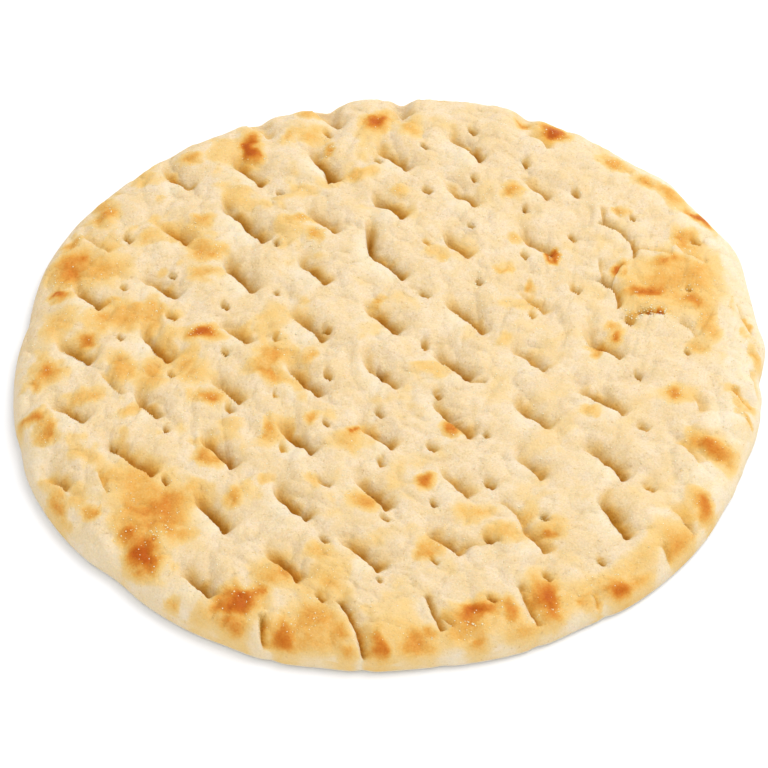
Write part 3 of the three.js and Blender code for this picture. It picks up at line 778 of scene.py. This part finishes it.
class Loaf:
    """Corners and triangles as they are added, with each corner's values for the material."""

    def __init__(self):
        self.points, self.faces, self.unroll, self.values = [], [], [], []
        self.start = 0

    def add_top(self):
        """The top is a web of rings, which lie closer together by the rim."""
        plan_x, plan_y = [], []
        counts = [max(1, RING_GROWTH * k) for k in range(TOP_RINGS + 1)]
        for k, count in enumerate(counts):
            step_in = EDGE_RADIUS * (1 - k / TOP_RINGS)
            inset = step_in**2 / (step_in + RIM_CROWDING)
            share = 1 - inset / EDGE_RADIUS * (EDGE_RADIUS + RIM_CROWDING) / EDGE_RADIUS
            x, y = ring(lambda angle, s=share: s * edge_radius(angle), count)
            plan_x.append(x)
            plan_y.append(y)
            self.unroll.append(level_ring(k / TOP_RINGS, count, 0.0))
            if k:
                self.faces.append(stitch(self.start + counts[k - 1], count, self.start, counts[k - 1]))
                self.start += counts[k - 1]
        x, y = np.concatenate(plan_x), np.concatenate(plan_y)
        relief = top_surface(x, y)
        self.points.append(np.stack([x + relief.shift_x, y + relief.shift_y, relief.height], 1))
        toast = toast_at(x, y) * (1 - BARE * relief.bare)
        # paleness: floury crust, partly painted light on the left rim and a painted highlight on the
        # ridges
        pale = np.maximum(pale_and_painted_light_at(x, y), RIDGE_PALE_AND_HIGHLIGHT * relief.ridge)
        # each corner's toast, the marks' painted shade, and paleness
        self.values.append(np.stack([toast, relief.dark, pale], 1))

    def add_underside(self):
        """From the top's last ring round the lower rim, and in to the middle of the foot."""
        outer, outer_count = self.start, RING_GROWTH * TOP_RINGS
        self.start += outer_count
        for inset, height, count, spread in under_rings(outer_count):
            share = 1 - inset / EDGE_RADIUS
            x, y = ring(lambda angle, s=share: edge_radius(angle) * s, count)
            inward = np.full(count, inset)
            lift = np.maximum(layered_noise(x, y, UNDER_LUMPS), 0)
            z = height + smooth(inward, *UNDER_LUMPS_FROM) * lift
            self.points.append(np.stack([x, y, z], 1))
            self.unroll.append(level_ring(spread, count, 1.0))
            pale = 1 - smooth(inward, *UNDER_PALE_RIM)
            self.values.append(np.stack([under_toast(x, y, inward), np.zeros(count), pale], 1))
            self.faces.append(stitch(outer, outer_count, self.start, count)[:, ::-1])
            outer, outer_count = self.start, count
            self.start += count


def under_rings(edge_count):
    """Rings from the widest line to the foot's middle: inset, height, count of corners, spread."""
    rings = []
    for step in range(1, UNDER_STEPS + 1):
        angle = math.pi / 2 * step / UNDER_STEPS
        inset = FOOT_INSET * (1 - math.cos(angle))
        height = WIDEST_HEIGHT * (1 - math.sin(angle))
        rings.append((inset, height, edge_count, 1 - (1 - FOOT_DISC) * step / UNDER_STEPS))
    count = edge_count
    inset = FOOT_INSET
    while inset < EDGE_RADIUS - FOOT_LAST_RADIUS:
        spacing = 2 * math.pi * (EDGE_RADIUS - inset) / count
        inset += max(FOOT_STRETCH * spacing, FOOT_LEAST_STEP)
        if spacing < FOOT_SPACING and count % 2 == 0:
            count = max(count // 2, FOOT_LEAST_COUNT)
        inset = min(inset, EDGE_RADIUS)
        last = inset == EDGE_RADIUS
        rings.append((inset, 0.0, 1 if last else count, FOOT_DISC * (1 - inset / EDGE_RADIUS)))
    if rings[-1][2] != 1:
        rings.append((EDGE_RADIUS, 0.0, 1, 0.0))
    return rings


def mesh_from(name, points, faces):
    """A smooth mesh from arrays, with the places in millimetres."""
    faces = np.asarray(faces)
    corners = faces.shape[1]
    mesh = bpy.data.meshes.new(name)
    mesh.vertices.add(len(points))
    mesh.vertices.foreach_set("co", (np.asarray(points) * MM).ravel())
    mesh.loops.add(faces.size)
    mesh.loops.foreach_set("vertex_index", faces.ravel())
    mesh.polygons.add(len(faces))
    mesh.polygons.foreach_set("loop_start", np.arange(0, faces.size, corners))
    mesh.update(calc_edges=True)
    mesh.polygons.foreach_set("use_smooth", np.ones(len(faces), bool))
    return mesh


def add_object(name, data):
    piece = bpy.data.objects.new(name, data)
    bpy.context.scene.collection.objects.link(piece)
    return piece


def put_vectors(mesh, name, vectors):
    layer = mesh.attributes.new(name, "FLOAT_VECTOR", "POINT")
    layer.data.foreach_set("vector", vectors.ravel())


def put_map(mesh):
    """A flat map for baking: the top is a large disc, and the underside a small one beside it."""
    unroll = np.empty(3 * len(mesh.vertices))
    mesh.attributes["unroll"].data.foreach_get("vector", unroll)
    corners = np.empty(len(mesh.loops), int)
    mesh.loops.foreach_get("vertex_index", corners)
    places = unroll.reshape(-1, 3)[corners].reshape(-1, 3, 3)
    under = places[:, :, 2].mean(1) > UNDER_SHARE
    x, y, radius = TOP_DISC
    flat = places[:, :, :2] * radius + (x, y)
    x, y, radius = UNDER_DISC
    flat[under] = places[under, :, :2] * radius + (x, y)
    layer = mesh.uv_layers.new(name="OFBake")
    layer.data.foreach_set("uv", flat.reshape(-1))


def make_loaf():
    arrays = Loaf()
    arrays.add_top()
    arrays.add_underside()
    faces = np.concatenate(arrays.faces)
    mesh = mesh_from("loaf", np.concatenate(arrays.points), faces)
    put_vectors(mesh, "unroll", np.concatenate(arrays.unroll))
    put_vectors(mesh, "crust", np.concatenate(arrays.values))
    loaf = add_object("loaf", mesh)
    thin = loaf.modifiers.new("thin", "DECIMATE")
    thin.ratio = min(1, FACE_LIMIT / len(faces))
    graph = bpy.context.evaluated_depsgraph_get()
    thinned = bpy.data.meshes.new_from_object(
        loaf.evaluated_get(graph), preserve_all_data_layers=True, depsgraph=graph
    )
    loaf.modifiers.clear()
    loaf.data = thinned
    put_map(thinned)
    return loaf


# ------------ grains and crumbs

GRAIN_SEED = 61
GRAIN_TRIES = 22_000
GRAIN_SIZES = (0.09, 0.2)  # radius
GRAIN_STRETCH = (0.7, 1.3)
GRAIN_FLATNESS = 0.6
GRAIN_SINK = 0.4  # share of the radius below the crust
GRAIN_MARGIN = 4  # no grain is tried nearer to the edge
GRAIN_CLUMPS = [(9, 1, 62), (3.5, 0.6, 63)]  # size across, weight, seed
GRAIN_CLUMP_STEP = (-0.3, 0.9)
GRAIN_SHARE = 0.13  # of the tries, kept everywhere
GRAIN_CLUMP_SHARE = 0.16  # and this much more in a clump
GRAIN_TOAST_SHARE = 0.6  # and this much more in a clump where the crust is toasted
GRAIN_SCORCH = (0.6, 0.9)  # toast in which grains grow fewer again
GRAIN_SCORCH_LOSS = 0.75
GRAIN_SHADE_LIMIT = 0.2  # no grain lies where a mark's painted shade is darker
# Loose crumbs: x, y, half of the spread in x and in y, count.
CRUMBS = [
    (61.5, 10.5, 3.4, 1.2, 70),
    (20.2, 22.2, 1.6, 1.4, 14),
    (-51.8, -55.6, 2.4, 1.2, 22),
    (-33.2, -73.3, 1.6, 1.2, 6),
    (-18.8, 33.6, 1.6, 1, 12),
    (71.3, 18.2, 1.2, 0.8, 8),
    (18.8, -81.5, 1.6, 1, 10),
]
CRUMB_SIZES = (0.14, 0.28)


def grain_places(rng):
    """Where grains stuck to the crust: in clumps, and thickest where it is toasted."""
    radius = (EDGE_RADIUS - GRAIN_MARGIN) * np.sqrt(rng.uniform(0, 1, GRAIN_TRIES))
    angle = rng.uniform(-math.pi, math.pi, GRAIN_TRIES)
    x, y = radius * np.cos(angle), radius * np.sin(angle)
    clumps = smooth(layered_noise(x, y, GRAIN_CLUMPS), *GRAIN_CLUMP_STEP)
    toast = toast_at(x, y)
    toast *= 1 - GRAIN_SCORCH_LOSS * smooth(toast, *GRAIN_SCORCH)
    share = GRAIN_SHARE + clumps * (GRAIN_CLUMP_SHARE + GRAIN_TOAST_SHARE * toast)
    keep = rng.uniform(0, 1, GRAIN_TRIES) < share
    return x[keep], y[keep]


def crumb_places(rng):
    places = [
        (rng.normal(x, half_x, count), rng.normal(y, half_y, count))
        for x, y, half_x, half_y, count in CRUMBS
    ]
    return (np.concatenate(part) for part in zip(*places))


def icosahedron():
    """Corners at distance 1 from the middle, and triangles that face outwards."""
    golden = (1 + math.sqrt(5)) / 2
    signs = [(a, b * golden) for a in (-1, 1) for b in (-1, 1)]
    corners = [(0, a, b) for a, b in signs] + [(a, b, 0) for a, b in signs]
    corners += [(a * golden, 0, b) for a in (-1, 1) for b in (-1, 1)]
    corners = np.array(corners) / math.hypot(1, golden)
    edge = 2 / math.hypot(1, golden)
    sides = []
    for side in combinations(range(len(corners)), 3):
        lengths = [math.dist(corners[a], corners[b]) for a, b in combinations(side, 2)]
        if math.isclose(max(lengths), edge):
            outward = np.linalg.det(corners[list(side)]) > 0
            sides.append(side if outward else side[::-1])
    return corners, np.array(sides)


def make_grains():
    """Semolina grains and crumbs, as one mesh of small flattened stones."""
    rng = np.random.default_rng(GRAIN_SEED)
    x, y = grain_places(rng)
    crumb_x, crumb_y = crumb_places(rng)
    crumb_count = len(crumb_x)
    x, y = np.append(x, crumb_x), np.append(y, crumb_y)
    size = rng.uniform(*GRAIN_SIZES, len(x))
    size[-crumb_count:] = rng.uniform(*CRUMB_SIZES, crumb_count)
    crust = top_surface(x, y)
    lies = crust.dark < GRAIN_SHADE_LIMIT
    lies[-crumb_count:] = True
    size = size[lies]
    middle = np.stack([x + crust.shift_x, y + crust.shift_y, crust.height], 1)[lies]
    middle[:, 2] += size * GRAIN_FLATNESS * (1 - 2 * GRAIN_SINK)
    corners, sides = icosahedron()
    stretch = rng.uniform(*GRAIN_STRETCH, (len(size), 1, 3))
    stretch = stretch * size[:, None, None] * (1, 1, GRAIN_FLATNESS)
    points = middle[:, None, :] + corners[None] * stretch
    faces = sides[None] + len(corners) * np.arange(len(size))[:, None, None]
    return add_object("grains", mesh_from("grains", points.reshape(-1, 3), faces.reshape(-1, 3)))


# ------------ materials

LIGHT_LEVEL = 1.48  # what the lights bring to a white floor
SHEEN = 0.01  # what the crust mirrors whatever its colour
LEAST_ALBEDO = 0.001


def seen(red, green, blue):
    """Albedo that shows as this 0 to 255 colour in the studio's light."""

    def linear(part):
        part /= 255
        return part / 12.92 if part <= 0.04045 else ((part + 0.055) / 1.055) ** 2.4

    parts = ((linear(part) - SHEEN) / LIGHT_LEVEL for part in (red, green, blue))
    return (*(max(part, LEAST_ALBEDO) for part in parts), 1)


DOUGH = seen(252, 230, 196)
DOUGH_DARKER = seen(247, 221, 178)
DOUGH_SPECKS = seen(228, 200, 158)
# floury crust, also the painted light of the pale left rim and the ridges' painted highlight
FLOURY_AND_PAINTED_LIGHT = seen(255, 244, 220)
BRAN = seen(190, 140, 84)
# Colour of the crust at each tone, from hardly warm to dark.
BAKED = [
    (0.0, seen(248, 222, 176)),
    (0.12, seen(248, 215, 154)),
    (0.28, seen(245, 202, 126)),
    (0.48, seen(238, 178, 90)),
    (0.68, seen(225, 145, 57)),
    (0.85, seen(213, 122, 38)),
    (1.0, seen(200, 100, 30)),
]
# Painted shade: what a mark's dark leaves of the crust's colour.
SHADED = [
    (0.0, (1, 1, 1, 1)),
    (0.3, (0.96, 0.86, 0.62, 1)),
    (0.7, (0.88, 0.65, 0.27, 1)),
    (1.0, (0.71, 0.41, 0.06, 1)),
]
WARMER = (1.0, 0.975, 0.87, 1)
SAND_BRIGHTNESS = (0.97, 1.035)  # of the sandy speckle
SEMOLINA_PALE, SEMOLINA_GOLDEN = seen(255, 250, 214), seen(255, 222, 150)
FLOOR_WHITE = (0.8, 0.8, 0.81, 1)

# Noises: size across, detail and roughness.
FINE = (0.5, 2, 0.6)
WISPS = (2.2, 4, 0.65)
COARSE = (1.6, 2, 0.5)
# Textures: a noise, and the values of it at which the texture begins and is complete.
PATCHES = ((6, 3, 0.5), 0.35, 0.65)
WARMTH = ((2.4, 3, 0.6), 0.36, 0.64)
SAND = ((0.42, 1, 0.6), 0.3, 0.7)
BRAN_FLAKES = ((0.75, 1, 0.5), 0.69, 0.74)
SEMOLINA = ((1.5, 2, 0.5), 0.35, 0.65)
SPECKS = (0.35, 0.7)  # the same in the fine noise
SPECKS_SHARE = 0.4
BRAN_SHARE = 0.3
WISPS_GAIN = 0.35
SPECKLE_GAIN = 0.26
SPECKLE_TOAST = (0.05, 0.35)  # toast in which wisps and speckles set in
BAKED_TONE = (0.0, 0.14)  # tone in which dough gives way to baked crust
ROUGHNESS = (0.2, 0.9, 0.72, 0.5)  # a low and a high tone, and how rough the crust is there
BUMP_HEIGHT = 0.4
BUMP_SHARE = 0.5  # of the fine noise, and of the coarse one


class Nodes:
    """Short ways to add nodes to a material."""

    def __init__(self, name):
        self.material = bpy.data.materials.new(name)
        self.material.use_nodes = True
        self.tree = self.material.node_tree
        self.shader = self.tree.nodes["Principled BSDF"]

    @cached_property
    def place(self):
        return self.add("ShaderNodeTexCoord").outputs["Object"]

    def add(self, kind, inputs=None, **settings):
        """A new node, with what is given set on it and put on its sockets."""
        node = self.tree.nodes.new(kind)
        for key, value in settings.items():
            setattr(node, key, value)
        for key, source in (inputs or {}).items():
            self.put(source, node.inputs[key])
        return node

    def put(self, source, target):
        """Links a socket, or sets a number or a colour."""
        if isinstance(source, bpy.types.NodeSocket):
            self.tree.links.new(source, target)
        else:
            target.default_value = source

    def finish(self, **inputs):
        """Puts what is given on the shader's own sockets; their names' spaces are underscores."""
        for name, source in inputs.items():
            self.put(source, self.shader.inputs[name.replace("_", " ")])
        return self.material

    def maths(self, operation, first, second):
        node = self.add("ShaderNodeMath", {0: first, 1: second}, operation=operation)
        return node.outputs[0]

    def uneven(self, source, gain):
        """Noise about its middle, made stronger or weaker."""
        return self.maths("MULTIPLY", self.maths("SUBTRACT", source, 0.5), gain)

    def noise(self, size, detail, roughness):
        inputs = {"Scale": 1 / (size * MM), "Detail": detail, "Roughness": roughness}
        node = self.add("ShaderNodeTexNoise", inputs | {"Vector": self.place})
        return node.outputs["Fac"]

    def step(self, source, low, high, to_low=0.0, to_high=1.0):
        """Rises smoothly from to_low at low to to_high at high."""
        inputs = {"Value": source, "From Min": low, "From Max": high}
        inputs |= {"To Min": to_low, "To Max": to_high}
        node = self.add("ShaderNodeMapRange", inputs, interpolation_type="SMOOTHSTEP")
        return node.outputs["Result"]

    def texture(self, noise, low, high, *ends):
        """A noise with a smooth step in it."""
        return self.step(self.noise(*noise), low, high, *ends)

    def ramp(self, source, stops):
        node = self.add("ShaderNodeValToRGB", {"Fac": source})
        elements = node.color_ramp.elements
        for place, colour in stops[2:]:
            elements.new(place)
        for element, (place, colour) in zip(elements, stops):
            element.position = place
            element.color = colour
        return node.outputs["Color"]

    def mix(self, share, first, second, blend="MIX"):
        inputs = {"Factor": share, "A": first, "B": second}
        node = self.add("ShaderNodeMix", inputs, data_type="RGBA", blend_type=blend)
        return node.outputs["Result"]

    def multiply(self, first, second):
        return self.mix(1.0, first, second, blend="MULTIPLY")


def crust_material():
    n = Nodes("crust")
    values = n.add("ShaderNodeAttribute", attribute_name="crust").outputs["Vector"]
    # toast, the marks' painted shade, and paleness that is partly painted light
    toast, dark, pale = n.add("ShaderNodeSeparateXYZ", {0: values}).outputs
    fine = n.noise(*FINE)
    tone = crust_tone(n, toast, fine)

    specks = n.maths("MULTIPLY", n.step(fine, *SPECKS), SPECKS_SHARE)
    dough = n.mix(n.texture(*PATCHES), DOUGH, DOUGH_DARKER)
    # pale: floury crust, with painted light on the left outer rim and a painted highlight on the
    # ridges
    dough = n.mix(pale, n.mix(specks, dough, DOUGH_SPECKS), FLOURY_AND_PAINTED_LIGHT)
    colour = n.mix(n.step(tone, *BAKED_TONE), dough, n.ramp(tone, BAKED))
    # painted shade of the wells, creases and pinholes darkens the colour
    colour = n.multiply(colour, n.ramp(dark, SHADED))
    colour = n.mix(n.texture(*WARMTH), n.multiply(colour, WARMER), colour)
    colour = n.multiply(colour, n.texture(*SAND, *SAND_BRIGHTNESS))
    bran = n.maths("MULTIPLY", n.texture(*BRAN_FLAKES), BRAN_SHARE)
    colour = n.mix(bran, colour, BRAN)

    return n.finish(
        Base_Color=colour,
        Roughness=n.step(tone, *ROUGHNESS),
        Specular_IOR_Level=0.12,
        Subsurface_Weight=0.12,
        Subsurface_Radius=(1.0, 0.5, 0.25),
        Subsurface_Scale=1.6 * MM,
        Normal=crust_bump(n, fine),
    )


def crust_tone(n, toast, fine):
    """Toast with wisps and speckles in it, but for the crust that is hardly toasted at all."""
    wisps = n.uneven(n.noise(*WISPS), WISPS_GAIN)
    speckle = n.uneven(fine, SPECKLE_GAIN)
    mask = n.step(toast, *SPECKLE_TOAST)
    return n.maths("ADD", toast, n.maths("MULTIPLY", n.maths("ADD", wisps, speckle), mask))


def crust_bump(n, fine):
    """The fine roughness of the crust, too small for the mesh."""
    fine = n.maths("MULTIPLY", fine, BUMP_SHARE)
    coarse = n.maths("MULTIPLY", n.noise(*COARSE), BUMP_SHARE)
    inputs = {"Strength": 1.0, "Distance": BUMP_HEIGHT * MM, "Height": n.maths("ADD", fine, coarse)}
    return n.add("ShaderNodeBump", inputs).outputs["Normal"]


def grain_material():
    n = Nodes("semolina")
    colour = n.mix(n.texture(*SEMOLINA), SEMOLINA_PALE, SEMOLINA_GOLDEN)
    return n.finish(Base_Color=colour, Roughness=0.45, Specular_IOR_Level=0.4)


def floor_material():
    return Nodes("floor_paint").finish(Base_Color=FLOOR_WHITE, Roughness=0.9, Specular_IOR_Level=0.0)


# ------------ surroundings

FLOOR_HALF = 3000
# Each light: place, size across, power in watts. All shine on the origin.
LIGHTS = {
    "key": ((470, 330, 820), 800, 7),
    "fill": ((-150, -900, 260), 600, 1.7),
}
SKY_STRENGTH = 1.05
CAMERA_ELEVATION = 48.97
CAMERA_DISTANCE = 714.2
CAMERA_AIM = (-1.51, -4.3, 0)
SENSOR = 36
LENS = 140.6


def make_floor():
    half = FLOOR_HALF
    points = [(-half, -half, 0), (half, -half, 0), (half, half, 0), (-half, half, 0)]
    floor = add_object("floor", mesh_from("floor", points, [(0, 1, 2), (0, 2, 3)]))
    floor.data.materials.append(floor_material())


def make_light(name, place, size, power):
    data = bpy.data.lights.new(name, "AREA")
    data.shape = "DISK"
    data.size = size * MM
    data.energy = power
    light = add_object(name, data)
    light.location = Vector(place) * MM
    light.rotation_euler = (-Vector(place)).to_track_quat("-Z", "Y").to_euler()


def make_world():
    world = bpy.data.worlds.new("studio")
    world.use_nodes = True
    sky = world.node_tree.nodes["Background"]
    sky.inputs["Color"].default_value = (1, 1, 1, 1)
    sky.inputs["Strength"].default_value = SKY_STRENGTH
    bpy.context.scene.world = world


def make_camera():
    data = bpy.data.cameras.new("camera")
    data.sensor_width = SENSOR
    data.lens = LENS
    camera = add_object("camera", data)
    tilt = math.radians(CAMERA_ELEVATION)
    back = Vector((0, -math.cos(tilt), math.sin(tilt)))
    camera.location = (back * CAMERA_DISTANCE + Vector(CAMERA_AIM)) * MM
    camera.rotation_euler = (math.pi / 2 - tilt, 0, 0)
    bpy.context.scene.camera = camera


loaf = make_loaf()
loaf.data.materials.append(crust_material())
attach(loaf, "root")
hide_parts("bread")

grains = make_grains()
grains.data.materials.append(grain_material())
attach(grains, "root")

make_floor()
for light_name, (light_place, light_size, light_power) in LIGHTS.items():
    make_light(light_name, light_place, light_size, light_power)
make_world()
make_camera()
bpy.context.scene.view_settings.view_transform = "Standard"
